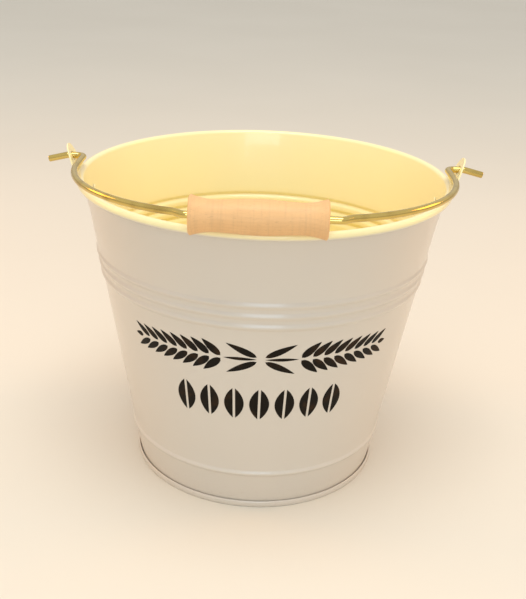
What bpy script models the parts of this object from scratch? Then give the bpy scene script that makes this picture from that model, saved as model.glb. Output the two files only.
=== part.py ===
"""Painted steel feed pail with a brass bail and a turned wooden grip.

Units are metres and +Z is up.  The origin is the centre of the foot, in the plane that the pail
stands on.  The ears are on the X axis, and the bail is folded down over the front rim, at -Y.
"""

import math

import bmesh
import bpy
from mathutils import Matrix, Vector

# Driving dimensions of the pail
RIM_RADIUS = 0.1420         # to the centre of the wired edge
PAIL_HEIGHT = 0.2420        # floor to the top of the wired edge
FOOT_RADIUS = 0.0982        # outside of the wall, carried down to the floor
BEAD_RADIUS = 0.0030        # outside of the curl that wraps the rim wire
SHEET = 0.0006              # steel sheet of the wall and the bottom
GAP = 0.0003                # left between parts that touch
SIDES = 48                  # facets round the pail
CURL_END = math.radians(-135)   # free end of the curl, seen from the rim wire

# Swaged ribs: their heights above the floor, and their section
UPPER_RIBS = (0.1846, 0.1759, 0.1672)
LOWER_RIB = 0.0330
RIB_WIDTH = 0.0068
RIB_RISE = 0.0014

# Bottom pan and its seam round the foot
PAN_TOP = 0.0070
SEAM_HEIGHT = 0.0052
SEAM_BULGE = 0.0009
SEAM_SLOT = 0.0010          # height of the wall's lower edge inside the seam

# Ears and their rivets
EAR_SHEET = 0.0012
EAR_HOLE_RADIUS = 0.0032
EAR_TIP_RADIUS = 0.0094
EAR_TAPER = math.radians(28)    # each slanting edge, from the upright
EAR_SHOULDER_Z = 0.2390     # where the slanting edges start
EAR_LEAN = math.radians(20)     # outward lean of the part above the rim
EAR_JOG = (0.2305, 0.2366)  # the step that carries the ear round the wired edge
EAR_TAB_Z = 0.2120
EAR_TAB_HALF = 0.0150
EAR_TAB_CORNER = 0.0040     # radius of the tab's lower corners
EAR_NECK_BLEND = 0.0030     # radius where the tab widens
EAR_SHOULDER_ROUND = 0.0020
EAR_SPARE = 0.0040          # length of strip that the outline trims off at each end
RIVET_Z = 0.2215
RIVET_SHANK = 0.0017
RIVET_HEAD = 0.0036
RIVET_TAIL = 0.0029
RIVET_DOME = 0.0018
RIVET_SIDES = 16
CUTTER_LENGTH = 0.0300      # longer than anything that is drilled or trimmed

# Bail
PIVOT_Z = 0.2500
WIRE_RADIUS = 0.0025
ARM_X = 0.1410              # arm's centre line, inside the ear
PIVOT_BEND = 0.0045
STUB_END_X = 0.1685
STUB_DROOP_X = 0.1540
STUB_DROOP = 0.0035
BOW_START = 0.0284          # straight length of each arm before the bow
BOW_RADIUS = 0.1170
SHOULDER_X = 0.0575
SHOULDER_SLOPE = math.radians(17)
SHOULDER_BEND = 0.0060
GRIP_BEND_X = 0.0510

# Grip
GRIP_X = -0.0028            # it has slid along the straight, almost to the left shoulder
GRIP_Y = -0.1460
GRIP_HALF = 0.0445
GRIP_MIDDLE = 0.0116
GRIP_NECK = 0.0103
GRIP_END = 0.0130
GRIP_NECK_X = 0.0292
GRIP_FLARE_X = 0.0430
GRIP_BORE = 0.0031
GRIP_CHAMFER = 0.0007
GRIP_SIDES = 28

# Worked out from the dimensions above
BEAD_Z = PAIL_HEIGHT - BEAD_RADIUS
REACH = Vector((RIM_RADIUS - FOOT_RADIUS, BEAD_Z))
WALL_LEAN = math.atan2(REACH.x, REACH.y) - math.asin((BEAD_RADIUS - SHEET) / REACH.length)
GRIP_LIFT = math.sqrt((GRIP_MIDDLE + BEAD_RADIUS + GAP) ** 2 - (GRIP_Y + RIM_RADIUS) ** 2)
GRIP_Z = BEAD_Z + GRIP_LIFT
GRIP_REACH = math.hypot(GRIP_Y, GRIP_Z - PIVOT_Z)
FOLD_TILT = math.atan2(GRIP_Z - PIVOT_Z, -GRIP_Y)
FACET_FLAT = math.cos(math.pi / SIDES)
SIDES_OF_PAIL = (("right", 0.0), ("left", math.pi))


def clear_scene():
    for old in list(bpy.data.objects):
        bpy.data.objects.remove(old, do_unlink=True)


def new_collection(name):
    collection = bpy.data.collections.new(name)
    bpy.context.scene.collection.children.link(collection)
    return collection


def principled(name, colour, roughness, metallic=0.0, coat=0.0):
    material = bpy.data.materials.new(name)
    material.use_nodes = True
    shader = material.node_tree.nodes["Principled BSDF"]
    shader.inputs["Base Color"].default_value = (*colour, 1.0)
    shader.inputs["Roughness"].default_value = roughness
    shader.inputs["Metallic"].default_value = metallic
    shader.inputs["Coat Weight"].default_value = coat
    return material


def link(obj, collection, material=None):
    collection.objects.link(obj)
    if material:
        obj.data.materials.append(material)
    return obj


def arc(centre, radius, start, end, count):
    """Points on a circle, from the start angle to the end angle, both included."""
    angles = [start + (end - start) * i / (count - 1) for i in range(count)]
    return [(centre[0] + radius * math.cos(a), centre[1] + radius * math.sin(a)) for a in angles]


def rounded(corners, radii, step=math.radians(9)):
    """A path through corners, each turned into an arc of its own radius (0 keeps it sharp)."""
    path = []
    for i, (corner, radius) in enumerate(zip(corners, radii)):
        corner = Vector(corner)
        if radius == 0:
            path.append(corner)
            continue
        back = (Vector(corners[i - 1]) - corner).normalized()
        ahead = (Vector(corners[(i + 1) % len(corners)]) - corner).normalized()
        half = back.angle(ahead) / 2
        centre = corner + (back + ahead).normalized() * radius / math.sin(half)
        first = corner + back * radius / math.tan(half) - centre
        last = corner + ahead * radius / math.tan(half) - centre
        turn = math.pi - 2 * half
        count = max(2, math.ceil(turn / step))
        for k in range(count + 1):
            share = k / count
            weight = math.sin((1 - share) * turn), math.sin(share * turn)
            path.append(centre + (first * weight[0] + last * weight[1]) / math.sin(turn))
    return path


def turned(name, profile, sides, closed, sweep=math.tau):
    """A profile of (radius, height) points, turned about Z; it runs down its outer side."""
    count = len(profile)
    edges = [(i, i + 1) for i in range(count - 1)]
    if closed:
        edges.append((count - 1, 0))
    mesh = bpy.data.meshes.new(name)
    mesh.from_pydata([(r, 0.0, z) for r, z in profile], edges, [])
    obj = bpy.data.objects.new(name, mesh)
    screw = obj.modifiers.new("turn", "SCREW")
    screw.axis = "Z"
    screw.angle = sweep
    screw.steps = sides
    screw.render_steps = sides
    screw.use_merge_vertices = True
    screw.merge_threshold = 0.00001
    screw.use_smooth_shade = True
    return obj


def thicken(obj, thickness, offset):
    """Turns an open surface into a shell; offset -1 grows it inwards and 1 outwards."""
    solidify = obj.modifiers.new("sheet", "SOLIDIFY")
    solidify.thickness = thickness
    solidify.offset = offset
    solidify.use_even_offset = True


def cut(obj, cutter, operation="DIFFERENCE"):
    boolean = obj.modifiers.new(cutter.name, "BOOLEAN")
    boolean.operation = operation
    boolean.solver = "EXACT"
    boolean.object = cutter


def as_cutter(obj, collection):
    collection.objects.link(obj)
    obj.hide_render = True
    obj.display_type = "WIRE"
    return obj


def wall_radius(z):
    """Outside of the plain wall at a height."""
    return FOOT_RADIUS + z * math.tan(WALL_LEAN)


def rib_points(height):
    """One swaged rib as a raised cosine, from its upper edge down."""
    points = []
    for k in range(5):
        share = 1 - k / 2
        z = height + share * RIB_WIDTH / 2
        rise = RIB_RISE * (1 + math.cos(share * math.pi)) / 2
        points.append((wall_radius(z) + rise, z))
    return points


def rivet_frame(side, turn):
    """Where a rivet sits: Z along its axis, the origin on the outside of the wall."""
    about_pail = Matrix.Rotation(side + turn, 4, "Z")
    onto_wall = Matrix.Translation((wall_radius(RIVET_Z) * FACET_FLAT, 0, RIVET_Z))
    facing_out = Matrix.Rotation(math.pi / 2 + WALL_LEAN, 4, "Y")
    return about_pail @ onto_wall @ facing_out


def drill(name, radius, length, frame, collection):
    mesh = bpy.data.meshes.new(name)
    shape = bmesh.new()
    bmesh.ops.create_cone(
        shape, cap_ends=True, segments=RIVET_SIDES, radius1=radius, radius2=radius, depth=length
    )
    shape.to_mesh(mesh)
    shape.free()
    cutter = as_cutter(bpy.data.objects.new(name, mesh), collection)
    cutter.matrix_world = frame
    return cutter


def make_wall(parts, paint, rivet_drills):
    """Tapered sheet: curled round the rim wire at the top, and plain at the foot."""
    seam_free = math.pi - WALL_LEAN
    profile = arc((RIM_RADIUS, BEAD_Z), BEAD_RADIUS - SHEET, CURL_END, seam_free, 13)
    for height in (*UPPER_RIBS, LOWER_RIB):
        profile += rib_points(height)
    profile.append((wall_radius(SEAM_SLOT), SEAM_SLOT))
    wall = turned("bucket_wall", profile, SIDES, closed=False)
    thicken(wall, SHEET, -1)
    for cutter in rivet_drills:
        cut(wall, cutter)
    return link(wall, parts, paint)


def make_rim_wire(parts, steel):
    wire_radius = BEAD_RADIUS - SHEET - GAP
    bpy.ops.mesh.primitive_torus_add(
        major_radius=RIM_RADIUS,
        minor_radius=wire_radius,
        major_segments=SIDES,
        minor_segments=8,
        location=(0, 0, BEAD_Z),
    )
    wire = bpy.context.object
    wire.name = "rim_wire"
    wire.data.shade_smooth()
    for collection in list(wire.users_collection):
        collection.objects.unlink(wire)
    return link(wire, parts, steel)


def make_bottom_pan(parts, paint):
    """Recessed disc, a flange down inside the wall, and a seam rolled up round its foot."""
    lean = math.tan(WALL_LEAN)
    flange = FOOT_RADIUS - SHEET - GAP
    outside = FOOT_RADIUS + GAP
    seam_edge = outside + SEAM_HEIGHT * lean + SHEET
    profile = [
        (0.0, PAN_TOP),
        (flange + PAN_TOP * lean - SHEET, PAN_TOP),
        (flange + (PAN_TOP - SHEET) * lean, PAN_TOP - SHEET),
        (flange + SHEET * lean, SHEET),
        (outside + SHEET * lean, SHEET),
        (outside + SEAM_HEIGHT * lean, SEAM_HEIGHT - SHEET),
    ]
    for k in range(7):
        angle = math.pi / 2 - k * math.pi / 6
        height = SEAM_HEIGHT / 2 * (1 + math.sin(angle))
        profile.append((seam_edge + SEAM_BULGE * math.cos(angle), height))
    profile += [
        (flange - SHEET, 0.0),
        (flange - 2 * SHEET, SHEET),
        (flange + (PAN_TOP - 2 * SHEET) * lean - SHEET, PAN_TOP - 2 * SHEET),
        (flange + PAN_TOP * lean - 2 * SHEET, PAN_TOP - SHEET),
        (0.0, PAN_TOP - SHEET),
    ]
    return link(turned("bottom_pan", profile, SIDES, closed=False), parts, paint)


def solid_mesh(obj):
    """The object's evaluated mesh, welded and facing out; the object itself is removed."""
    bpy.context.view_layer.update()
    evaluated = obj.evaluated_get(bpy.context.evaluated_depsgraph_get())
    mesh = bpy.data.meshes.new_from_object(evaluated)
    shape = bmesh.new()
    shape.from_mesh(mesh)
    bmesh.ops.remove_doubles(shape, verts=shape.verts, dist=0.00001)
    bmesh.ops.recalc_face_normals(shape, faces=shape.faces)
    shape.to_mesh(mesh)
    shape.free()
    bpy.data.objects.remove(obj, do_unlink=True)
    return mesh


def ear_outline(collection):
    """The ear seen along X, as a prism that trims the bent strip to shape."""
    apex = PIVOT_Z + EAR_TIP_RADIUS / math.sin(EAR_TAPER)
    half = (apex - EAR_SHOULDER_Z) * math.tan(EAR_TAPER)
    neck_z = EAR_JOG[0] + EAR_SHEET
    corners = [
        (-EAR_TAB_HALF, EAR_TAB_Z),
        (EAR_TAB_HALF, EAR_TAB_Z),
        (EAR_TAB_HALF, neck_z),
        (half, EAR_SHOULDER_Z),
        (0.0, apex),
        (-half, EAR_SHOULDER_Z),
        (-EAR_TAB_HALF, neck_z),
    ]
    tab_corners = (EAR_TAB_CORNER, EAR_TAB_CORNER)
    radii = (
        *tab_corners,
        EAR_NECK_BLEND,
        EAR_SHOULDER_ROUND,
        EAR_TIP_RADIUS,
        EAR_SHOULDER_ROUND,
        EAR_NECK_BLEND,
    )
    outline = rounded(corners, radii, step=math.radians(20))
    curve = bpy.data.curves.new("ear_outline", "CURVE")
    curve.dimensions = "2D"
    curve.fill_mode = "BOTH"
    curve.extrude = CUTTER_LENGTH / 2
    spline = curve.splines.new("POLY")
    spline.points.add(len(outline) - 1)
    for point, (y, z) in zip(spline.points, outline):
        point.co = (y, z, 0.0, 1.0)
    spline.use_cyclic_u = True
    flat = bpy.data.objects.new("ear_outline_curve", curve)
    collection.objects.link(flat)
    facing_x = Matrix(((0, 0, 1, RIM_RADIUS), (1, 0, 0, 0), (0, 1, 0, 0), (0, 0, 0, 1)))
    cutter = as_cutter(bpy.data.objects.new("ear_outline", solid_mesh(flat)), collection)
    cutter.matrix_world = facing_x
    return cutter


def ear_mesh(cutters, rivet_drills):
    """Bent strip that follows the wall, steps out round the wired edge and carries the bail."""
    clear = BEAD_RADIUS + GAP
    touch = (RIM_RADIUS + clear * math.cos(EAR_LEAN), BEAD_Z - clear * math.sin(EAR_LEAN))
    slope = math.tan(EAR_LEAN)
    top_z = PIVOT_Z + EAR_TIP_RADIUS + EAR_SPARE
    bottom_z = EAR_TAB_Z - EAR_SPARE
    profile = [
        (touch[0] + (top_z - touch[1]) * slope, top_z),
        (touch[0] + (EAR_JOG[1] - touch[1]) * slope, EAR_JOG[1]),
        (wall_radius(EAR_JOG[0]) + GAP, EAR_JOG[0]),
        (wall_radius(bottom_z) + GAP, bottom_z),
    ]
    half_angle = math.tau / SIDES
    strip = turned("ear_strip", profile, 2, closed=False, sweep=2 * half_angle)
    strip.matrix_world = Matrix.Rotation(-half_angle, 4, "Z")
    thicken(strip, EAR_SHEET, 1)
    cut(strip, ear_outline(cutters), "INTERSECT")
    through_x = Matrix.Translation((RIM_RADIUS, 0, PIVOT_Z)) @ Matrix.Rotation(math.pi / 2, 4, "Y")
    cut(strip, drill("ear_hole", EAR_HOLE_RADIUS, CUTTER_LENGTH, through_x, cutters))
    for cutter in rivet_drills:
        cut(strip, cutter)
    cutters.objects.link(strip)
    turn_back = strip.matrix_world.copy()
    mesh = solid_mesh(strip)
    mesh.transform(turn_back)
    return mesh


def make_rivet(name, frame, parts, paint):
    """Domed head outside the ear, shank through both sheets, and a flattened tail inside."""
    head = 2 * GAP + EAR_SHEET
    tail = -SHEET - GAP
    dome_radius = (RIVET_HEAD**2 + RIVET_DOME**2) / (2 * RIVET_DOME)
    spread = math.asin(RIVET_HEAD / dome_radius)
    dome_centre = head + RIVET_DOME - dome_radius
    profile = arc((0.0, dome_centre), dome_radius, math.pi / 2, math.pi / 2 - spread, 5)
    profile[0] = (0.0, head + RIVET_DOME)
    profile += [
        (RIVET_SHANK, head),
        (RIVET_SHANK, tail),
        (RIVET_TAIL, tail),
        (RIVET_TAIL * 0.8, tail - RIVET_DOME * 0.6),
        (0.0, tail - RIVET_DOME * 0.6),
    ]
    rivet = turned(name, profile, RIVET_SIDES, closed=False)
    rivet.matrix_world = frame
    return link(rivet, parts, paint)


def bail_path():
    """Centre line of the wire in the bail's own frame: the pivots on X, the grip towards -Y."""
    bow_rise = (ARM_X - SHOULDER_X) * math.tan(SHOULDER_SLOPE)
    bow_tangent = BOW_RADIUS * math.tan((math.pi / 2 - SHOULDER_SLOPE) / 2)
    shoulder_reach = BOW_START + bow_tangent + bow_rise
    half = [
        (STUB_END_X, 0.0, -STUB_DROOP),
        (STUB_DROOP_X, 0.0, 0.0),
        (ARM_X, 0.0, 0.0),
        (ARM_X, -(BOW_START + bow_tangent), 0.0),
        (SHOULDER_X, -shoulder_reach, 0.0),
        (GRIP_BEND_X, -GRIP_REACH, 0.0),
    ]
    radii = [0, 2 * WIRE_RADIUS, PIVOT_BEND, BOW_RADIUS, SHOULDER_BEND, SHOULDER_BEND]
    corners = half + [(-x, y, z) for x, y, z in reversed(half)]
    return rounded(corners, radii + radii[::-1])


def make_bail(parts, brass):
    """One wire, from stub to stub, its origin on the line through the ear holes."""
    path = bail_path()
    curve = bpy.data.curves.new("bail_wire", "CURVE")
    curve.dimensions = "3D"
    curve.bevel_depth = WIRE_RADIUS
    curve.bevel_resolution = 2
    curve.use_fill_caps = True
    spline = curve.splines.new("POLY")
    spline.points.add(len(path) - 1)
    for point, place in zip(spline.points, path):
        point.co = (*place, 1.0)
    bail = bpy.data.objects.new("bail_wire", curve)
    bail.location = (0, 0, PIVOT_Z)
    bail.rotation_euler = (-FOLD_TILT, 0, 0)
    return link(bail, parts, brass)


def grip_radius(x):
    """Turned outline: a soft swell in the middle, a neck each side, and flared ends."""
    x = abs(x)
    if x <= GRIP_NECK_X:
        swell = (1 + math.cos(math.pi * x / GRIP_NECK_X)) / 2
        return GRIP_NECK + (GRIP_MIDDLE - GRIP_NECK) * swell
    flare = (x - GRIP_NECK_X) / (GRIP_FLARE_X - GRIP_NECK_X)
    return GRIP_NECK + (GRIP_END - GRIP_NECK) * flare**1.7


def make_grip(parts, wood):
    """Turned about its own Z, then laid along X on the straight of the bail."""
    stations = [GRIP_FLARE_X * (1 - k / 10) for k in range(21)]
    edge = GRIP_END - GRIP_CHAMFER
    profile = [
        (GRIP_BORE + GRIP_CHAMFER, GRIP_HALF),
        (edge - GRIP_CHAMFER, GRIP_HALF),
        (edge + GRIP_CHAMFER / 2, GRIP_HALF - GRIP_CHAMFER),
    ]
    profile += [(grip_radius(x), x) for x in stations]
    profile += [
        (edge + GRIP_CHAMFER / 2, GRIP_CHAMFER - GRIP_HALF),
        (edge - GRIP_CHAMFER, -GRIP_HALF),
        (GRIP_BORE + GRIP_CHAMFER, -GRIP_HALF),
        (GRIP_BORE, GRIP_CHAMFER - GRIP_HALF),
        (GRIP_BORE, GRIP_HALF - GRIP_CHAMFER),
    ]
    grip = turned("wooden_grip", profile, GRIP_SIDES, closed=True)
    grip.location = (GRIP_X, GRIP_Y, GRIP_Z)
    grip.rotation_euler = (0, math.pi / 2, 0)
    return link(grip, parts, wood)


def main():
    clear_scene()
    parts = new_collection("feed_pail")
    cutters = new_collection("cutters")
    paint = principled("cream_enamel", (0.80, 0.76, 0.64), 0.25, coat=0.6)
    brass = principled("brass_wire", (0.83, 0.62, 0.22), 0.22, metallic=1.0)
    wood = principled("turned_beech", (0.74, 0.50, 0.28), 0.6)
    steel = principled("steel_wire", (0.55, 0.56, 0.57), 0.4, metallic=1.0)

    drills = {"right": [], "left": []}
    for name, side in SIDES_OF_PAIL:
        for place, turn in (("front", -math.pi / SIDES), ("back", math.pi / SIDES)):
            frame = rivet_frame(side, turn * math.cos(side))
            rivet_name = f"rivet_{name}_{place}"
            make_rivet(rivet_name, frame, parts, paint)
            hole = drill(rivet_name + "_hole", RIVET_SHANK + GAP, CUTTER_LENGTH, frame, cutters)
            drills[name].append(hole)
    ear = ear_mesh(cutters, drills["right"])
    ear.materials.append(paint)
    for name, side in SIDES_OF_PAIL:
        link(bpy.data.objects.new(f"ear_{name}", ear), parts).rotation_euler = (0, 0, side)

    make_wall(parts, paint, drills["right"] + drills["left"])
    make_rim_wire(parts, steel)
    make_bottom_pan(parts, paint)
    make_bail(parts, brass)
    make_grip(parts, wood)


main()
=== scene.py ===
"""Looks of the feed pail: fine surfaces, finishes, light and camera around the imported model."""
import math

import bmesh
import bpy
from mathutils import Matrix, Vector


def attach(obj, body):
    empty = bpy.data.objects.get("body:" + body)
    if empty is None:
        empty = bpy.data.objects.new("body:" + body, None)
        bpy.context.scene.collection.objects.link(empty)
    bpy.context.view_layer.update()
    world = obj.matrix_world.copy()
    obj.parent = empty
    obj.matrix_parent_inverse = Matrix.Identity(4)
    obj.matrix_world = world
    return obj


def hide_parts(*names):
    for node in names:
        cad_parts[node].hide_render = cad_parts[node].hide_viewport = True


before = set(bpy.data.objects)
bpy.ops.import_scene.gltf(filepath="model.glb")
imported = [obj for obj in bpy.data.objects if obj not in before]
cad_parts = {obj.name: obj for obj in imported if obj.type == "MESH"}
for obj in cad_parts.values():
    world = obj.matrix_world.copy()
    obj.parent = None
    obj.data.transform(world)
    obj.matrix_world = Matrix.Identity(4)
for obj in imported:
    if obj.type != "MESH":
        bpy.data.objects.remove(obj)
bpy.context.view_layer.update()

# The pail's dimensions in metres, as in the CAD model, and the small radii that soften its edges
RIM_RADIUS = 0.1420
PAIL_HEIGHT = 0.2420
FOOT_RADIUS = 0.0982
BEAD_RADIUS = 0.0030
SHEET = 0.0006
GAP = 0.0003
CURL_END = math.radians(-135)
UPPER_RIBS = (0.1846, 0.1759, 0.1672)
LOWER_RIB = 0.0330
RIB_WIDTH = 0.0068
RIB_RISE = 0.0014
PAN_TOP = 0.0070
SEAM_HEIGHT = 0.0052
SEAM_BULGE = 0.0009
SEAM_SLOT = 0.0010

EAR_SHEET = 0.0012
EAR_HOLE_RADIUS = 0.0032
EAR_TIP_RADIUS = 0.0094
EAR_TAPER = math.radians(28)
EAR_SHOULDER_Z = 0.2390
EAR_LEAN = math.radians(20)
EAR_JOG = (0.2305, 0.2366)
EAR_TAB_Z = 0.2120
EAR_TAB_HALF = 0.0150
EAR_TAB_CORNER = 0.0040
EAR_NECK_BLEND = 0.0030
EAR_SHOULDER_ROUND = 0.0020
EAR_EDGE = 0.0003           # softened by the press and the paint
RIVET_Z = 0.2215
RIVET_TURN = math.radians(3.75)
RIVET_SHANK = 0.0017
RIVET_HEAD = 0.0036
RIVET_TAIL = 0.0029
RIVET_DOME = 0.0018
RIVET_TUCK = 0.0002         # how far the head's edge runs in under it
RIVET_RIM = 0.0001          # how thick the head is at that edge
RIVET_TAIL_EDGE = 0.0004
RIVET_TAIL_RISE = RIVET_DOME * 0.6
RIVET_TAIL_FLAT = RIVET_TAIL * 0.7

PIVOT_Z = 0.2500
WIRE_RADIUS = 0.0025
ARM_X = 0.1410
PIVOT_BEND = 0.0045
STUB_END_X = 0.1685
STUB_DROOP_X = 0.1540
STUB_DROOP = 0.0035
BOW_START = 0.0284
BOW_RADIUS = 0.1170
SHOULDER_X = 0.0575
SHOULDER_SLOPE = math.radians(17)
SHOULDER_BEND = 0.0060
GRIP_BEND_X = 0.0510
WIRE_NOSE = 0.0006          # its cut ends are rounded over

GRIP_X = -0.0028
GRIP_Y = -0.1460
GRIP_HALF = 0.0445
GRIP_MIDDLE = 0.0116
GRIP_NECK = 0.0103
GRIP_END = 0.0130
GRIP_NECK_X = 0.0292
GRIP_FLARE_X = 0.0430
GRIP_TURNED_X = 0.0425       # grip_radius shapes it this far each way
GRIP_BORE = 0.0031
GRIP_BORE_EDGE = 0.0004     # softened, at both ends of the bore
GRIP_ROUND = 0.0015         # its ends are sanded round

# Worked out from the dimensions above
BEAD_Z = PAIL_HEIGHT - BEAD_RADIUS
REACH = Vector((RIM_RADIUS - FOOT_RADIUS, BEAD_Z))
WALL_LEAN = math.atan2(REACH.x, REACH.y) - math.asin((BEAD_RADIUS - SHEET) / REACH.length)
GRIP_LIFT = math.sqrt((GRIP_MIDDLE + BEAD_RADIUS + GAP) ** 2 - (GRIP_Y + RIM_RADIUS) ** 2)
GRIP_Z = BEAD_Z + GRIP_LIFT
GRIP_REACH = math.hypot(GRIP_Y, GRIP_Z - PIVOT_Z)
FOLD_TILT = math.atan2(GRIP_Z - PIVOT_Z, -GRIP_Y)

# Visible only in the fine model
FLOOR_RING = (0.0720, 0.0050, 0.0008)   # radius, width and rise of the ring pressed in the bottom
SIDE_SEAM_HALF = 0.0033
SIDE_SEAM_RISE = 0.0005
SIDE_SEAM_MARGIN = 0.0006               # from its ends to the foot seam and the top of the ears' jog
INK_DEPTH = 0.00008
INK_OVERLAP = 0.00002                   # it starts this far inside the wall's surface
PRINT_ROWS = (0.1405, 0.1005)           # heights of the two rows of print
PRINT_SHIFT = 0.0026                    # it isn't quite midway between the ears

# The printed motif: two cereal ears, and split grains under them
KERNEL_PAIRS = 8
KERNEL_START = 0.0290                   # from the middle of the row to the first pair
KERNEL_PITCH = 0.0085
KERNEL_SLIMMING = 0.035                 # share of the first pair's size that each next one loses
KERNEL_FOOT = 0.0012
KERNEL_REACH = 0.0135
KERNEL_SPREAD = 0.0132
KERNEL_WIDTH = 0.0062
GRAIN_PITCH = 0.0185
GRAIN_HALF = 0.0135
GRAIN_SPLIT = 0.0009
GRAIN_BULGE = 0.0064

# How finely the meshes are cut
ROUND = 256                 # sides of the pail
WIRE_SIDES = 28
WIRE_STEP = 0.0040
RIVET_SIDES = 40
GRIP_SIDES = 112
HOLE_SIDES = 40
FLOOR_SIDES = 96
CURL_POINTS = 37
RIM_WIRE_SIDES = 16
# Heights of the wall's rings: on its plain stretches, and above the slot of the foot seam, where
# they lie close together so that the foot shades evenly
PLAIN_RINGS = (0.226, 0.214, 0.202, 0.192, 0.150, 0.130, 0.110, 0.090, 0.070, 0.050, 0.020)
FOOT_RINGS = (0.0, 0.0003, 0.0010, 0.0030, 0.0080)
COARSE_ARC = math.radians(15)
SEAM_STRIP_UP = 0.0008
SEAM_STRIP_ACROSS = 0.0015
EAR_STRIP_UP = 0.0006
EAR_STRIP_ACROSS = 0.0020
PRINT_STRIP_ACROSS = 0.0020
ACROSS, UP = 0, 1           # axes of a flat sheet
SAME_SPOT = 0.000001        # points closer than this are one
ON_THE_CUT = 0.00001        # points closer to a cut than this lie on it

# The stage
FLOOR_RADIUS = 14.0
HORIZON = (0.73, 0.68, 0.59)            # close to the far floor, to keep the edge there faint
OVERHEAD = (1.0, 0.99, 0.98)
KEY_LIGHT = (1.0, 0.98, 0.94)
COOL_LIGHT = (0.66, 0.84, 1.0)
WARM_LIGHT = (1.0, 0.45, 0.06)


# ---------------------------------------------------------------- geometry helpers

def arc(centre, radius, start, end, count):
    """Points on a circle, from the start angle to the end angle, both included."""
    angles = [start + (end - start) * i / (count - 1) for i in range(count)]
    across, up = centre
    return [(across + radius * math.cos(a), up + radius * math.sin(a)) for a in angles]


def rounded(corners, radii, step=math.radians(4)):
    """A path through corners, each turned into an arc of its own radius (0 keeps it sharp)."""
    path = []
    for i, (corner, radius) in enumerate(zip(corners, radii)):
        corner = Vector(corner)
        if radius == 0:
            path.append(corner)
            continue
        back = (Vector(corners[i - 1]) - corner).normalized()
        ahead = (Vector(corners[(i + 1) % len(corners)]) - corner).normalized()
        half = back.angle(ahead) / 2
        centre = corner + (back + ahead).normalized() * radius / math.sin(half)
        first = corner + back * radius / math.tan(half) - centre
        last = corner + ahead * radius / math.tan(half) - centre
        turn = math.pi - 2 * half
        count = max(3, math.ceil(turn / step))
        for k in range(count + 1):
            share = k / count
            weight = math.sin((1 - share) * turn), math.sin(share * turn)
            path.append(centre + (first * weight[0] + last * weight[1]) / math.sin(turn))
    return path


def add_piece(name, mesh, body, nodes, material, smooth_angle=None):
    """Puts a mesh in the scene as a piece that rides on a body and stands for CAD nodes."""
    piece = bpy.data.objects.new(name, mesh)
    bpy.context.scene.collection.objects.link(piece)
    mesh.materials.append(material)
    mesh.shade_smooth()
    if smooth_angle:
        mesh.set_sharp_from_angle(angle=smooth_angle)
    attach(piece, body)
    if nodes:
        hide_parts(*nodes)
    return piece


def turned_mesh(name, profile, sides, closed=False):
    """A profile of (radius, height) points turned about Z, closed where it ends on the axis."""
    shape = bmesh.new()
    points = [shape.verts.new((r, 0.0, z)) for r, z in profile]
    pairs = list(zip(points, points[1:]))
    if closed:
        pairs.append((points[-1], points[0]))
    lines = [shape.edges.new(pair) for pair in pairs]
    bmesh.ops.spin(
        shape,
        geom=points + lines,
        cent=(0, 0, 0),
        axis=(0, 0, 1),
        angle=math.tau,
        steps=sides,
        use_merge=True,
    )
    bmesh.ops.remove_doubles(shape, verts=shape.verts, dist=SAME_SPOT)
    bmesh.ops.recalc_face_normals(shape, faces=shape.faces)
    if shape.calc_volume(signed=True) < 0:
        bmesh.ops.reverse_faces(shape, faces=shape.faces)
    mesh = bpy.data.meshes.new(name)
    shape.to_mesh(mesh)
    shape.free()
    return mesh


def inset_loop(loop, inset):
    """Moves a closed outline towards its left, which is the side that the material is on."""
    moved = []
    for i, point in enumerate(loop):
        before = (point - loop[i - 1]).normalized()
        after = (loop[(i + 1) % len(loop)] - point).normalized()
        side = Vector((-before.y - after.y, before.x + after.x)).normalized()
        reach = inset / max(0.3, side.dot(Vector((-before.y, before.x))))
        moved.append(point + side * reach)
    return moved


def add_plate(shape, loops, thickness, soften=0.0):
    """Adds a flat sheet cut to its loops, lying on Z = 0, with its edges softened if asked."""
    if soften:
        turns = [math.radians(a) for a in (0, 22.5, 45, 67.5, 90)]
        lower = [(soften * (1 - math.sin(a)), soften * (1 - math.cos(a))) for a in turns]
        levels = lower + [(inset, thickness - height) for inset, height in reversed(lower)]
    else:
        levels = [(0.0, 0.0), (0.0, thickness)]
    faces = []
    for end in (levels[0], levels[-1]):
        rims = []
        for loop in loops:
            ring = [shape.verts.new((*p, end[1])) for p in inset_loop(loop, end[0])]
            rims += [shape.edges.new((ring[i - 1], ring[i])) for i in range(len(ring))]
        faces.append(rims)
        bmesh.ops.triangle_fill(shape, use_beauty=True, edges=rims)
    for number, loop in enumerate(loops):
        start = sum(len(other) for other in loops[:number])
        rings = []
        for level, (inset, height) in enumerate(levels):
            if level in (0, len(levels) - 1):
                edges = faces[0 if level == 0 else 1][start:start + len(loop)]
                rings.append([edge.verts[1] for edge in edges])
            else:
                rings.append([shape.verts.new((*p, height)) for p in inset_loop(loop, inset)])
        for low, high in zip(rings, rings[1:]):
            for i in range(len(loop)):
                shape.faces.new((low[i - 1], low[i], high[i], high[i - 1]))


def slice_plate(shape, axis, step):
    """Cuts a flat sheet into narrow strips, so that it can be bent round."""
    values = [vert.co[axis] for vert in shape.verts]
    normal = Vector((0, 0, 0))
    normal[axis] = 1
    for k in range(math.ceil(min(values) / step), math.floor(max(values) / step) + 1):
        bmesh.ops.bisect_plane(
            shape,
            geom=shape.verts[:] + shape.edges[:] + shape.faces[:],
            dist=ON_THE_CUT,
            plane_co=normal * k * step,
            plane_no=normal,
        )


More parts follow.
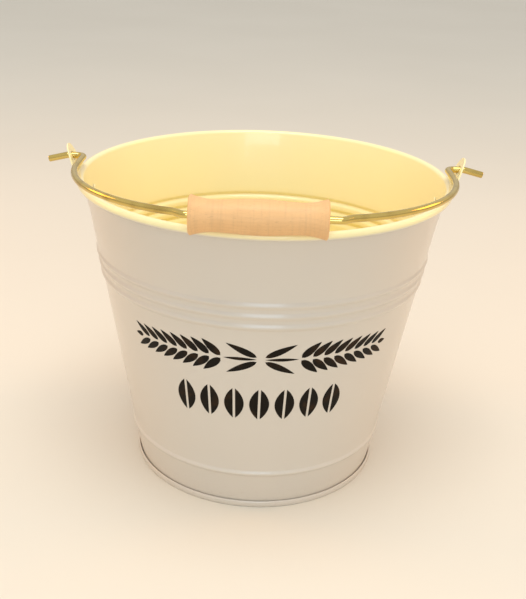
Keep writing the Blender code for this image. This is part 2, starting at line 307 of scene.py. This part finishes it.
def bent_mesh(name, shape, place):
    """Carries each point of a sheet (across, up, proud) to its place, and makes it a mesh."""
    for vert in shape.verts:
        vert.co = place(*vert.co)
    bmesh.ops.recalc_face_normals(shape, faces=shape.faces)
    mesh = bpy.data.meshes.new(name)
    shape.to_mesh(mesh)
    shape.free()
    return mesh


def weigh_normals(piece):
    """Keeps the broad faces flat in the shading where softened edges meet them."""
    weigh = piece.modifiers.new("flat_faces", "WEIGHTED_NORMAL")
    weigh.weight = 100
    weigh.keep_sharp = True


# ---------------------------------------------------------------- node helpers

def new_material(name):
    material = bpy.data.materials.new(name)
    material.use_nodes = True
    return material, material.node_tree, material.node_tree.nodes["Principled BSDF"]


def add(tree, kind, inputs=None, **settings):
    """A node with its settings; each input is a value, or the socket that feeds it."""
    node = tree.nodes.new(kind)
    for name, value in settings.items():
        setattr(node, name, value)
    for key, value in (inputs or {}).items():
        if isinstance(value, bpy.types.NodeSocket):
            tree.links.new(value, node.inputs[key])
        else:
            node.inputs[key].default_value = value
    return node


def sums(tree, operation, first, second=0.0):
    return add(tree, "ShaderNodeMath", {0: first, 1: second}, operation=operation).outputs[0]


def span(tree, value, low, high, to_low=0.0, to_high=1.0):
    """Maps a value smoothly from one range to another."""
    inputs = {"Value": value, 1: low, 2: high, 3: to_low, 4: to_high}
    return add(tree, "ShaderNodeMapRange", inputs, interpolation_type="SMOOTHSTEP").outputs[0]


def blend(tree, factor, first, second, mode="MIX"):
    """Mixes two colours, each given as a socket or as three numbers."""
    colours = [c if isinstance(c, bpy.types.NodeSocket) else (*c, 1.0) for c in (first, second)]
    inputs = {0: factor, 6: colours[0], 7: colours[1]}
    return add(tree, "ShaderNodeMix", inputs, data_type="RGBA", blend_type=mode).outputs[2]


def noise(tree, place, scale, detail=3.0, stretch=None):
    if stretch:
        place = add(tree, "ShaderNodeMapping", {"Vector": place, "Scale": stretch}).outputs[0]
    inputs = {"Vector": place, "Scale": scale, "Detail": detail}
    return add(tree, "ShaderNodeTexNoise", inputs).outputs["Fac"]


def bump(tree, height, distance, strength=1.0, under=None):
    inputs = {"Height": height, "Distance": distance, "Strength": strength}
    if under:
        inputs["Normal"] = under
    return add(tree, "ShaderNodeBump", inputs).outputs[0]


def object_place(tree):
    return add(tree, "ShaderNodeTexCoord").outputs["Object"]


# ---------------------------------------------------------------- finishes

# One cream paint in two copies: outside it is dulled by painted shade, inside it is yellowed by
# painted warm and bounce light
PAINT_OUTSIDE_SHADED = (0.645, 0.580, 0.495)
PAINT_INSIDE_LIT = (0.95, 0.85, 0.47)
PAINT_DEEP_BOUNCE = (0.95, 0.81, 0.34)         # inside, below the upper ribs: painted bounce light deepens the yellow there
PAINT_AGED = (0.60, 0.52, 0.40)
DUST = (0.55, 0.38, 0.19)
GRIME = (0.40, 0.27, 0.13)
INK_THICK = (0.006, 0.004, 0.002)
INK_THIN = (0.032, 0.015, 0.005)
BRASS = (0.72, 0.54, 0.17)
BRASS_LINES = (0.52, 0.36, 0.09)
TARNISH = (0.30, 0.18, 0.05)
WOOD_EARLY = (0.81, 0.48, 0.21)
WOOD_LATE = (0.79, 0.465, 0.205)
WOOD_FIBRE = (0.60, 0.33, 0.16)
WOOD_FLECK = (0.42, 0.21, 0.09)
WOOD_HANDLED = (0.50, 0.28, 0.13)
WOOD_TOOL_MARK = (0.56, 0.33, 0.16)
STEEL = (0.42, 0.42, 0.42)
RUST = (0.24, 0.10, 0.04)
FLOOR_DARK = (0.74, 0.69, 0.59)
FLOOR_LIGHT = (0.76, 0.71, 0.61)


def lit_paint_mask(tree, axes, flat):
    """1 where painted warm light yellows the paint: faces that look into the pail, and all above the
    rim's middle.
    """
    normal = add(tree, "ShaderNodeTexCoord").outputs["Normal"]
    outwards = add(tree, "ShaderNodeVectorMath", {0: flat}, operation="NORMALIZE").outputs[0]
    facing = add(tree, "ShaderNodeVectorMath", {0: normal, 1: outwards}, operation="DOT_PRODUCT")
    upwards = add(tree, "ShaderNodeSeparateXYZ", {0: normal}).outputs[2]
    tilt = sums(tree, "SUBTRACT", facing.outputs["Value"], sums(tree, "MULTIPLY", upwards, 0.6))
    above_pan = span(tree, axes[2], PAN_TOP - 0.7 * SHEET, PAN_TOP - 0.3 * SHEET)
    facing_in = sums(tree, "MULTIPLY", span(tree, tilt, 0.12, -0.12), above_pan)
    # the top of the rim bead and the ears above it take the painted warm light too, as a painted
    # reflection
    over_rim = span(tree, axes[2], BEAD_Z - 0.0022, BEAD_Z + 0.0002)
    return sums(tree, "MAXIMUM", facing_in, over_rim)


def enamel():
    """Stoved cream paint, yellowed inside the pail by painted warm light, dulled outside by painted
    shade, a little dusty at the foot.
    """
    material, tree, shader = new_material("cream_enamel")
    place = object_place(tree)
    axes = add(tree, "ShaderNodeSeparateXYZ", {0: place}).outputs
    flat = add(tree, "ShaderNodeCombineXYZ", {0: axes[0], 1: axes[1]}).outputs[0]
    # painted bounce light: the inside turns a deeper yellow below the upper ribs
    deep_bounce = span(tree, axes[2], UPPER_RIBS[0] + RIB_WIDTH, UPPER_RIBS[-1] - RIB_WIDTH)
    inside = blend(tree, deep_bounce, PAINT_INSIDE_LIT, PAINT_DEEP_BOUNCE)
    # painted light and shade: the lit yellow copy where the mask is 1, the shaded copy elsewhere
    colour = blend(tree, lit_paint_mask(tree, axes, flat), PAINT_OUTSIDE_SHADED, inside)

    tone = span(tree, noise(tree, place, 6.0, 0.0), 0.20, 0.80, 0.0, 0.05)
    colour = blend(tree, tone, colour, PAINT_AGED)
    low = span(tree, axes[2], 0.030, 0.001)
    specks = span(tree, noise(tree, place, 420.0, 3.0), 0.56, 0.74)
    colour = blend(tree, sums(tree, "MULTIPLY", low, 0.06), colour, DUST)
    grime = sums(tree, "MULTIPLY", sums(tree, "MULTIPLY", low, specks), 0.12)
    colour = blend(tree, grime, colour, GRIME)
    tree.links.new(colour, shader.inputs["Base Color"])

    smear = noise(tree, place, 24.0, 3.0)
    tree.links.new(span(tree, smear, 0.3, 0.8, 0.30, 0.36), shader.inputs["Roughness"])
    shader.inputs["Coat Weight"].default_value = 0.5
    shader.inputs["Coat Roughness"].default_value = 0.08
    peel = bump(tree, noise(tree, place, 90.0, 1.0), 0.00003, 0.3)
    tree.links.new(peel, shader.inputs["Normal"])
    return material


def ink():
    """Dark brown print, thinner and browner in places."""
    material, tree, shader = new_material("brown_ink")
    place = object_place(tree)
    thin = span(tree, noise(tree, place, 90.0, 4.0), 0.45, 0.75)
    colour = blend(tree, thin, INK_THICK, INK_THIN)
    tree.links.new(colour, shader.inputs["Base Color"])
    tree.links.new(span(tree, thin, 0.0, 1.0, 0.45, 0.58), shader.inputs["Roughness"])
    shader.inputs["Specular IOR Level"].default_value = 0.12
    tree.links.new(bump(tree, noise(tree, place, 900.0), 0.00002, 0.6), shader.inputs["Normal"])
    return material


def brass():
    """Bright drawn wire: fine lines along it, and a brown tarnish in patches."""
    material, tree, shader = new_material("brass_wire")
    along = add(tree, "ShaderNodeTexCoord").outputs["UV"]
    place = object_place(tree)
    lines = noise(tree, along, 1.0, 3.0, stretch=(6.0, 60.0, 1.0))
    patches = noise(tree, place, 55.0, 4.0)
    colour = blend(tree, span(tree, lines, 0.3, 0.7, 0.0, 0.35), BRASS, BRASS_LINES)
    colour = blend(tree, span(tree, patches, 0.48, 0.78, 0.0, 0.55), colour, TARNISH)
    tree.links.new(colour, shader.inputs["Base Color"])
    shader.inputs["Metallic"].default_value = 1.0
    tree.links.new(span(tree, patches, 0.35, 0.8, 0.12, 0.26), shader.inputs["Roughness"])
    tree.links.new(bump(tree, lines, 0.00001, 0.4), shader.inputs["Normal"])
    return material


def wood():
    """Turned beech: grain and flecks along X, the tool's marks round it, rings on its ends."""
    material, tree, shader = new_material("turned_beech")
    place = object_place(tree)
    pith = (0.0, GRIP_Y + 0.010, GRIP_Z - 0.034)
    spread = add(tree, "ShaderNodeVectorMath", {0: place, 1: pith}, operation="SUBTRACT").outputs[0]
    waver = noise(tree, place, 26.0, 2.0, stretch=(0.35, 1.0, 1.0))
    parts = add(tree, "ShaderNodeSeparateXYZ", {0: spread}).outputs
    flat = add(tree, "ShaderNodeCombineXYZ", {1: parts[1], 2: parts[2]}).outputs[0]
    depth = add(tree, "ShaderNodeVectorMath", {0: flat}, operation="LENGTH").outputs["Value"]
    depth = sums(tree, "ADD", depth, sums(tree, "MULTIPLY", waver, 0.0035))
    rings = sums(tree, "FRACT", sums(tree, "MULTIPLY", depth, 420.0))
    late = span(tree, rings, 0.35, 0.95)
    fibre = noise(tree, place, 1.0, 4.0, stretch=(70.0, 1500.0, 1500.0))
    fleck = span(tree, noise(tree, place, 1.0, 2.0, stretch=(260.0, 1900.0, 1900.0)), 0.60, 0.72)
    handled = span(tree, noise(tree, place, 75.0, 3.0), 0.40, 0.75)
    colour = blend(tree, late, WOOD_EARLY, WOOD_LATE)
    colour = blend(tree, span(tree, fibre, 0.35, 0.75, 0.0, 0.10), colour, WOOD_FIBRE)
    colour = blend(tree, sums(tree, "MULTIPLY", fleck, 0.30), colour, WOOD_FLECK)
    colour = blend(tree, sums(tree, "MULTIPLY", handled, 0.14), colour, WOOD_HANDLED)
    tool = noise(tree, place, 1.0, 2.0, stretch=(700.0, 30.0, 30.0))
    colour = blend(tree, span(tree, tool, 0.45, 0.70, 0.0, 0.20), colour, WOOD_TOOL_MARK)
    tree.links.new(colour, shader.inputs["Base Color"])
    tree.links.new(span(tree, fibre, 0.3, 0.8, 0.46, 0.62), shader.inputs["Roughness"])
    turned = bump(tree, tool, 0.00006, 0.5)
    tree.links.new(bump(tree, fibre, 0.00002, 0.4, turned), shader.inputs["Normal"])
    return material


def steel():
    """Plain wire inside the curl, dull and spotted with rust."""
    material, tree, shader = new_material("steel_wire")
    place = object_place(tree)
    rust = span(tree, noise(tree, place, 180.0, 5.0), 0.52, 0.68)
    tree.links.new(blend(tree, rust, STEEL, RUST), shader.inputs["Base Color"])
    tree.links.new(span(tree, rust, 0.0, 1.0, 1.0, 0.2), shader.inputs["Metallic"])
    tree.links.new(span(tree, rust, 0.0, 1.0, 0.38, 0.85), shader.inputs["Roughness"])
    tree.links.new(bump(tree, rust, 0.00005), shader.inputs["Normal"])
    return material


def floor_finish():
    material, tree, shader = new_material("pale_floor")
    mottle = noise(tree, object_place(tree), 1.6, 3.0)
    colour = blend(tree, span(tree, mottle, 0.3, 0.7), FLOOR_DARK, FLOOR_LIGHT)
    tree.links.new(colour, shader.inputs["Base Color"])
    shader.inputs["Roughness"].default_value = 0.75
    return material


# ---------------------------------------------------------------- the pail

def wall_radius(z):
    """Outside of the plain wall at a height."""
    return FOOT_RADIUS + z * math.tan(WALL_LEAN)


def skin_radius(z):
    """Outside of the wall at a height, with its swaged ribs."""
    radius = wall_radius(z)
    for height in (*UPPER_RIBS, LOWER_RIB):
        share = 2 * (z - height) / RIB_WIDTH
        if abs(share) < 1:
            radius += RIB_RISE * (1 + math.cos(share * math.pi)) / 2
    return radius


def make_wall(paint):
    """Tapered sheet, curled over the rim wire, ribbed, and plain at its foot."""
    onto_wall = math.pi - WALL_LEAN
    profile = arc((RIM_RADIUS, BEAD_Z), BEAD_RADIUS - SHEET, CURL_END, onto_wall, CURL_POINTS)
    heights = [*PLAIN_RINGS] + [SEAM_SLOT + lift for lift in FOOT_RINGS]
    for height in (*UPPER_RIBS, LOWER_RIB):
        heights += [height + RIB_WIDTH / 2 * (1 - k / 8) for k in range(17)]
    profile += [(skin_radius(z), z) for z in sorted(heights, reverse=True)]
    mesh = turned_mesh("wall", profile, ROUND)
    wall = add_piece("wall", mesh, "pail", ["bucket_wall"], paint)
    sheet = wall.modifiers.new("sheet", "SOLIDIFY")
    sheet.thickness = SHEET
    sheet.offset = -1
    sheet.use_even_offset = True


def make_bottom(paint):
    """Recessed disc with a pressed ring, a flange inside the wall, and the rolled foot seam."""
    lean = math.tan(WALL_LEAN)
    flange = FOOT_RADIUS - SHEET - GAP
    outside = FOOT_RADIUS + GAP
    edge = outside + SEAM_HEIGHT * lean + SHEET
    ring, width, rise = FLOOR_RING
    waves = []
    for k in range(13):
        waves.append((ring + width * (k / 6 - 1), rise * (1 - math.cos(math.pi * k / 6)) / 2))
    top = [(0.0, PAN_TOP)] + [(r, PAN_TOP + lift) for r, lift in waves]
    under = [(r, z - SHEET) for r, z in reversed(top)]
    bend = [
        (ring + 2 * width, PAN_TOP),
        (flange + PAN_TOP * lean, PAN_TOP),
        (flange + SHEET * lean, SHEET),
        (outside + SHEET * lean, SHEET),
        (outside + SEAM_HEIGHT * lean, SEAM_HEIGHT - SHEET),
    ]
    bend_radii = [0, 0.0011, 0.0002, 0.0002, 0]
    hook = [tuple(p) for p in rounded(bend, bend_radii, COARSE_ARC)]
    roll = []
    for k in range(17):
        angle = math.pi / 2 - k * math.pi / 16
        roll.append((edge + SEAM_BULGE * math.cos(angle), SEAM_HEIGHT / 2 * (1 + math.sin(angle))))
    back = [
        (edge, 0.0),
        (flange - SHEET, 0.0),
        (flange + (PAN_TOP - SHEET) * lean - SHEET, PAN_TOP - SHEET),
        (ring + 2 * width, PAN_TOP - SHEET),
    ]
    back_radii = [0, 0.0009, 0.0005, 0]
    inner = [tuple(p) for p in rounded(back, back_radii, COARSE_ARC)][1:]
    profile = top + hook + roll + inner + under
    mesh = turned_mesh("bottom", profile, ROUND)
    add_piece("bottom", mesh, "pail", ["bottom_pan"], paint, math.radians(50))


def make_rim_wire(metal):
    full_turn = math.tau * (RIM_WIRE_SIDES - 1) / RIM_WIRE_SIDES
    profile = arc((RIM_RADIUS, BEAD_Z), BEAD_RADIUS - SHEET - GAP, 0, full_turn, RIM_WIRE_SIDES)
    mesh = turned_mesh("wire_in_rim", profile, ROUND, closed=True)
    add_piece("wire_in_rim", mesh, "pail", ["rim_wire"], metal)


def make_side_seam(paint):
    """Lapped joint up the back of the wall, from the foot seam to the curl."""
    shape = bmesh.new()
    low, high = SEAM_HEIGHT + SIDE_SEAM_MARGIN, EAR_JOG[1] - SIDE_SEAM_MARGIN
    half = SIDE_SEAM_HALF
    corners = [Vector(c) for c in ((-half, low), (half, low), (half, high), (-half, high))]
    add_plate(shape, [corners], SIDE_SEAM_RISE, soften=SIDE_SEAM_RISE * 0.48)
    slice_plate(shape, UP, SEAM_STRIP_UP)
    slice_plate(shape, ACROSS, SEAM_STRIP_ACROSS)

    def place(across, up, proud):
        radius = skin_radius(up) - 0.1 * SHEET + proud
        angle = math.pi / 2 + across / radius
        return radius * math.cos(angle), radius * math.sin(angle), up

    mesh = bent_mesh("side_seam", shape, place)
    add_piece("side_seam", mesh, "pail", [], paint, math.radians(40))


# ---------------------------------------------------------------- ears and rivets

def ear_radius(z):
    """Inner face of the ear at a height: along the wall, out round the curl, then leaning out."""
    clear = BEAD_RADIUS + GAP
    touch = (RIM_RADIUS + clear * math.cos(EAR_LEAN), BEAD_Z - clear * math.sin(EAR_LEAN))
    jog = (wall_radius(EAR_JOG[0]) + GAP, touch[0] + (EAR_JOG[1] - touch[1]) * math.tan(EAR_LEAN))
    if z <= EAR_JOG[0]:
        return wall_radius(z) + GAP
    if z >= EAR_JOG[1]:
        return touch[0] + (z - touch[1]) * math.tan(EAR_LEAN)
    share = (z - EAR_JOG[0]) / (EAR_JOG[1] - EAR_JOG[0])
    return jog[0] + (jog[1] - jog[0]) * share


def make_ears(paint):
    """Pressed from flat sheet with softened edges, then bent to the pail and out at the rim."""
    apex = PIVOT_Z + EAR_TIP_RADIUS / math.sin(EAR_TAPER)
    half = (apex - EAR_SHOULDER_Z) * math.tan(EAR_TAPER)
    neck = EAR_JOG[0] + EAR_SHEET
    corners = [
        ((-EAR_TAB_HALF, EAR_TAB_Z), EAR_TAB_CORNER),
        ((EAR_TAB_HALF, EAR_TAB_Z), EAR_TAB_CORNER),
        ((EAR_TAB_HALF, neck), EAR_NECK_BLEND),
        ((half, EAR_SHOULDER_Z), EAR_SHOULDER_ROUND),
        ((0.0, apex), EAR_TIP_RADIUS),
        ((-half, EAR_SHOULDER_Z), EAR_SHOULDER_ROUND),
        ((-EAR_TAB_HALF, neck), EAR_NECK_BLEND),
    ]
    outline = rounded(*zip(*corners), math.radians(7))
    last_turn = math.tau / HOLE_SIDES
    circle = arc((0.0, PIVOT_Z), EAR_HOLE_RADIUS, math.tau, last_turn, HOLE_SIDES)
    hole = [Vector(p) for p in circle]

    def place(across, up, proud):
        step = 0.0004
        slope = math.atan((ear_radius(up + step) - ear_radius(up - step)) / (2 * step))
        radius = ear_radius(up) + proud * math.cos(slope)
        angle = math.asin(across / ear_radius(up))
        return radius * math.cos(angle), radius * math.sin(angle), up - proud * math.sin(slope)

    for name, side in (("ear_right", 0.0), ("ear_left", math.pi)):
        shape = bmesh.new()
        add_plate(shape, [outline, hole], EAR_SHEET, soften=EAR_EDGE)
        slice_plate(shape, UP, EAR_STRIP_UP)
        slice_plate(shape, ACROSS, EAR_STRIP_ACROSS)
        mesh = bent_mesh(name + "_fine", shape, place)
        mesh.transform(Matrix.Rotation(side, 4, "Z"))
        ear = add_piece(name + "_fine", mesh, "pail", [name], paint, math.radians(60))
        weigh_normals(ear)


def make_rivets(paint):
    """Domed heads outside the ears, and flattened tails inside the pail."""
    head = 2 * GAP + EAR_SHEET
    tail = -SHEET - GAP
    dome_radius = (RIVET_HEAD**2 + RIVET_DOME**2) / (2 * RIVET_DOME)
    spread = math.asin(RIVET_HEAD / dome_radius)
    dome_centre = head + RIVET_DOME - dome_radius
    dome = arc((0.0, dome_centre), dome_radius, math.pi / 2, math.pi / 2 - spread, 13)
    dome[0] = (0.0, head + RIVET_DOME)
    flat = [
        (RIVET_HEAD - RIVET_TUCK, head - RIVET_RIM),
        (RIVET_SHANK, head - RIVET_RIM),
        (RIVET_SHANK, tail),
        (RIVET_TAIL, tail),
        (RIVET_TAIL, tail - RIVET_TAIL_EDGE),
        (RIVET_TAIL_FLAT, tail - RIVET_TAIL_RISE),
        (0.0, tail - RIVET_TAIL_RISE),
    ]
    tail_radii = [0, 0, 0, 0.0002, 0.0003, 0.0006, 0]
    profile = dome + [tuple(p) for p in rounded(flat, tail_radii, COARSE_ARC)]
    for name, side in (("right", 0.0), ("left", math.pi)):
        for place, turn in (("front", -RIVET_TURN), ("back", RIVET_TURN)):
            about = Matrix.Rotation(side + turn * math.cos(side), 4, "Z")
            onto = Matrix.Translation((wall_radius(RIVET_Z), 0, RIVET_Z))
            facing = Matrix.Rotation(math.pi / 2 + WALL_LEAN, 4, "Y")
            node = f"rivet_{name}_{place}"
            mesh = turned_mesh(node + "_fine", profile, RIVET_SIDES)
            mesh.transform(about @ onto @ facing)
            add_piece(node + "_fine", mesh, "pail", [node], paint, math.radians(40))


# ---------------------------------------------------------------- bail and grip

def bail_path():
    """Centre line of the wire in the bail's own frame: the pivots on X, the grip towards -Y."""
    bow_rise = (ARM_X - SHOULDER_X) * math.tan(SHOULDER_SLOPE)
    bow_tangent = BOW_RADIUS * math.tan((math.pi / 2 - SHOULDER_SLOPE) / 2)
    shoulder_reach = BOW_START + bow_tangent + bow_rise
    half = [
        (STUB_END_X, 0.0, -STUB_DROOP),
        (STUB_DROOP_X, 0.0, 0.0),
        (ARM_X, 0.0, 0.0),
        (ARM_X, -(BOW_START + bow_tangent), 0.0),
        (SHOULDER_X, -shoulder_reach, 0.0),
        (GRIP_BEND_X, -GRIP_REACH, 0.0),
    ]
    radii = [0, 2 * WIRE_RADIUS, PIVOT_BEND, BOW_RADIUS, SHOULDER_BEND, SHOULDER_BEND]
    corners = half + [(-x, y, z) for x, y, z in reversed(half)]
    return rounded(corners, radii + radii[::-1])


def spaced(path, step):
    """The same path with no stretch longer than a step."""
    points = [path[0]]
    for start, end in zip(path, path[1:]):
        count = max(1, math.ceil((end - start).length / step))
        points += [start.lerp(end, k / count) for k in range(1, count + 1)]
    return points


def make_bail(metal):
    """Round wire swept along the path, its cut ends rounded over."""
    path = spaced(bail_path(), WIRE_STEP)
    first = (path[0] - path[1]).normalized()
    last = (path[-1] - path[-2]).normalized()
    nose = []
    for degrees in (90, 60, 30, 0):
        back = WIRE_NOSE * (1 - math.sin(math.radians(degrees)))
        shrink = WIRE_NOSE - math.sqrt(max(0.0, WIRE_NOSE**2 - (WIRE_NOSE - back) ** 2))
        nose.append((back, WIRE_RADIUS - shrink))
    stations = [(path[0] - first * back, radius) for back, radius in nose]
    stations += [(point, WIRE_RADIUS) for point in path[1:-1]]
    stations += [(path[-1] - last * back, radius) for back, radius in reversed(nose)]

    to_pail = Matrix.Translation((0, 0, PIVOT_Z)) @ Matrix.Rotation(-FOLD_TILT, 4, "X")
    shape = bmesh.new()
    lengths = shape.loops.layers.uv.new("along")
    rings, travelled, run = [], [], 0.0
    for i, (point, radius) in enumerate(stations):
        before = stations[max(0, i - 1)][0]
        after = stations[min(len(stations) - 1, i + 1)][0]
        ahead = (after - before).normalized()
        across = ahead.cross(Vector((0, 0, 1))).normalized()
        up = across.cross(ahead)
        run += (point - before).length
        travelled.append(run)
        ring = []
        for k in range(WIRE_SIDES):
            angle = math.tau * k / WIRE_SIDES
            spot = point + (across * math.cos(angle) + up * math.sin(angle)) * radius
            ring.append(shape.verts.new(to_pail @ spot))
        rings.append(ring)
    for i, (low, high) in enumerate(zip(rings, rings[1:])):
        for k in range(WIRE_SIDES):
            beside = (k + 1) % WIRE_SIDES
            face = shape.faces.new((low[k], low[beside], high[beside], high[k]))
            for loop, (step, turn) in zip(face.loops, ((0, 0), (0, 1), (1, 1), (1, 0))):
                loop[lengths].uv = (travelled[i + step], (k + turn) / WIRE_SIDES)
    shape.faces.new(rings[0])
    shape.faces.new(rings[-1])
    bmesh.ops.recalc_face_normals(shape, faces=shape.faces)
    mesh = bpy.data.meshes.new("bail")
    shape.to_mesh(mesh)
    shape.free()
    add_piece("bail_fine", mesh, "bail", ["bail_wire"], metal, math.radians(50))


def grip_radius(x):
    """Turned outline: a soft swell in the middle, a neck each side, and flared ends."""
    x = abs(x)
    if x <= GRIP_NECK_X:
        swell = (1 + math.cos(math.pi * x / GRIP_NECK_X)) / 2
        return GRIP_NECK + (GRIP_MIDDLE - GRIP_NECK) * swell
    flare = (x - GRIP_NECK_X) / (GRIP_FLARE_X - GRIP_NECK_X)
    return GRIP_NECK + (GRIP_END - GRIP_NECK) * flare**1.7


def make_grip(timber):
    """Turned about its own axis, then laid along X on the straight of the bail."""
    flare = [GRIP_TURNED_X * (1 - k / 40) for k in range(81)]
    corners = [
        (GRIP_BORE, GRIP_HALF),
        (GRIP_END, GRIP_HALF),
        (GRIP_END, GRIP_HALF - GRIP_ROUND * 1.02),
    ]
    end = [tuple(p) for p in rounded(corners, [0, GRIP_ROUND, 0], math.radians(9))]
    edge = GRIP_BORE_EDGE
    mouth = [(GRIP_BORE, GRIP_HALF - edge), (GRIP_BORE + edge / 4, GRIP_HALF - edge / 4)]
    end = mouth + [(GRIP_BORE + edge, GRIP_HALF)] + end[1:]
    profile = end + [(grip_radius(x), x) for x in flare] + [(r, -x) for r, x in reversed(end)]
    mesh = turned_mesh("grip_fine", profile, GRIP_SIDES, closed=True)
    onto = Matrix.Translation((GRIP_X, GRIP_Y, GRIP_Z))
    mesh.transform(onto @ Matrix.Rotation(math.pi / 2, 4, "Y"))
    add_piece("grip_fine", mesh, "grip", ["wooden_grip"], timber, math.radians(40))


# ---------------------------------------------------------------- print

def leaf(base, tip, width, fullness=0.38):
    """Outline of a kernel: rounded near its base, and drawn out to a point at its tip."""
    base, tip = Vector(base), Vector(tip)
    length = tip - base
    side = Vector((-length.y, length.x)).normalized() * width / 2
    shares = [k / 12 for k in range(1, 12)]
    bulge = [math.sin(math.pi * s ** (math.log(0.5) / math.log(fullness))) ** 0.85 for s in shares]
    right = [base + length * s - side * b for s, b in zip(shares, bulge)]
    left = [base + length * s + side * b for s, b in zip(shares, bulge)]
    return [base] + right + [tip] + left[::-1]


def print_loops():
    """Two cereal ears, tip outwards, over a row of split grains, as outlines in metres."""
    ears, grains = [], []
    for side in (-1, 1):
        for k in range(KERNEL_PAIRS):
            start = KERNEL_START + KERNEL_PITCH * k
            slim = 1 - KERNEL_SLIMMING * k
            for across in (-1, 1):
                base = (side * start, across * KERNEL_FOOT)
                tip = (side * (start + KERNEL_REACH), across * KERNEL_SPREAD * slim)
                ears.append(leaf(base, tip, KERNEL_WIDTH * slim))
        ears.append(leaf((side * 0.0960, 0.0), (side * 0.1040, 0.0), 0.0040))
        ears.append(leaf((side * 0.0270, 0.0), (side * 0.0030, 0.0), 0.0026, 0.5))
        for across in (-1, 1):
            base, tip = (side * 0.0030, across * 0.0020), (side * 0.0250, across * 0.0125)
            ears.append(leaf(base, tip, 0.0052))
    for k in range(-3, 4):
        for side in (-1, 1):
            split = GRAIN_PITCH * k + side * GRAIN_SPLIT
            loop = [Vector((split, -GRAIN_HALF))]
            for j in range(1, 12):
                bulge = math.sin(math.pi * j / 12) ** 0.8 * GRAIN_BULGE * side
                loop.append(Vector((split + bulge, -GRAIN_HALF + 2 * GRAIN_HALF * j / 12)))
            loop.append(Vector((split, GRAIN_HALF)))
            grains.append(loop if side > 0 else loop[::-1])
    return ears, grains


def make_print(pigment):
    """Each row is a thin film, cut out flat and wrapped round the wall."""
    for name, height, loops in zip(("printed_ears", "printed_grains"), PRINT_ROWS, print_loops()):
        row_radius = wall_radius(height)
        shape = bmesh.new()
        for loop in loops:
            area = sum(a.x * b.y - b.x * a.y for a, b in zip(loop, loop[1:] + loop[:1]))
            add_plate(shape, [loop if area > 0 else loop[::-1]], INK_DEPTH)
        slice_plate(shape, ACROSS, PRINT_STRIP_ACROSS)

        def place(across, up, proud):
            z = height + up
            radius = wall_radius(z) - INK_OVERLAP + proud
            angle = (across + PRINT_SHIFT) / row_radius - math.pi / 2
            return radius * math.cos(angle), radius * math.sin(angle), z

        mesh = bent_mesh(name, shape, place)
        add_piece(name, mesh, "pail", [], pigment, math.radians(40))


# ---------------------------------------------------------------- stage

def make_floor():
    shape = bmesh.new()
    bmesh.ops.create_circle(shape, cap_ends=True, segments=FLOOR_SIDES, radius=FLOOR_RADIUS)
    mesh = bpy.data.meshes.new("floor")
    shape.to_mesh(mesh)
    shape.free()
    floor = bpy.data.objects.new("floor", mesh)
    bpy.context.scene.collection.objects.link(floor)
    mesh.materials.append(floor_finish())


def make_world():
    world = bpy.data.worlds.new("studio")
    bpy.context.scene.world = world
    world.use_nodes = True
    tree = world.node_tree
    aim = add(tree, "ShaderNodeTexCoord").outputs["Generated"]
    height = add(tree, "ShaderNodeSeparateXYZ", {0: aim}).outputs[2]
    colour = blend(tree, span(tree, height, 0.0, 0.35), HORIZON, OVERHEAD)
    background = tree.nodes["Background"]
    tree.links.new(colour, background.inputs["Color"])
    background.inputs["Strength"].default_value = 0.75


def area_light(name, place, aim, size, power, colour):
    data = bpy.data.lights.new(name, "AREA")
    data.shape = "RECTANGLE"
    data.size, data.size_y = size
    data.energy = power
    data.color = colour
    lamp = bpy.data.objects.new(name, data)
    bpy.context.scene.collection.objects.link(lamp)
    lamp.location = place
    lamp.rotation_euler = (Vector(aim) - Vector(place)).to_track_quat("-Z", "Y").to_euler()


def make_lights():
    """A large soft key overhead, a cool fill in front, and a small warm light each side."""
    area_light("key", (0.0, -0.45, 2.1), (0.0, 0.0, 0.2), (1.3, 1.1), 20, KEY_LIGHT)
    area_light("front_fill", (0.1, -2.0, 0.7), (0.0, 0.0, 0.15), (0.9, 0.8), 8, COOL_LIGHT)
    for name, side in (("warm_left", -1), ("warm_right", 1)):
        place, aim = (side * 1.2, 0.25, 0.75), (side * 0.1, 0.0, 0.12)
        area_light(name, place, aim, (0.5, 0.4), 3.6, WARM_LIGHT)


def make_camera():
    """The photograph's view: from the front, a little above, and slightly turned and tilted."""
    data = bpy.data.cameras.new("camera")
    data.sensor_fit = "HORIZONTAL"
    data.sensor_width = 36.0
    data.lens = 64.49
    data.shift_x = 0.0289
    data.shift_y = 0.0025
    camera = bpy.data.objects.new("camera", data)
    bpy.context.scene.collection.objects.link(camera)
    yaw, pitch, roll = (math.radians(a) for a in (-0.79, 23.4, 1.99))
    turn = Matrix.Rotation(-yaw, 4, "Z") @ Matrix.Rotation(math.pi / 2 - pitch, 4, "X")
    eye = Matrix.Translation((0, -0.7142, 0.4415))
    camera.matrix_world = eye @ turn @ Matrix.Rotation(roll, 4, "Z")
    bpy.context.scene.camera = camera


def main():
    scene = bpy.context.scene
    scene.view_settings.view_transform = "Standard"
    make_camera()
    make_world()
    make_lights()
    make_floor()
    paint = enamel()
    make_wall(paint)
    make_bottom(paint)
    make_rim_wire(steel())
    make_side_seam(paint)
    make_ears(paint)
    make_rivets(paint)
    make_bail(brass())
    make_grip(wood())
    make_print(ink())


main()
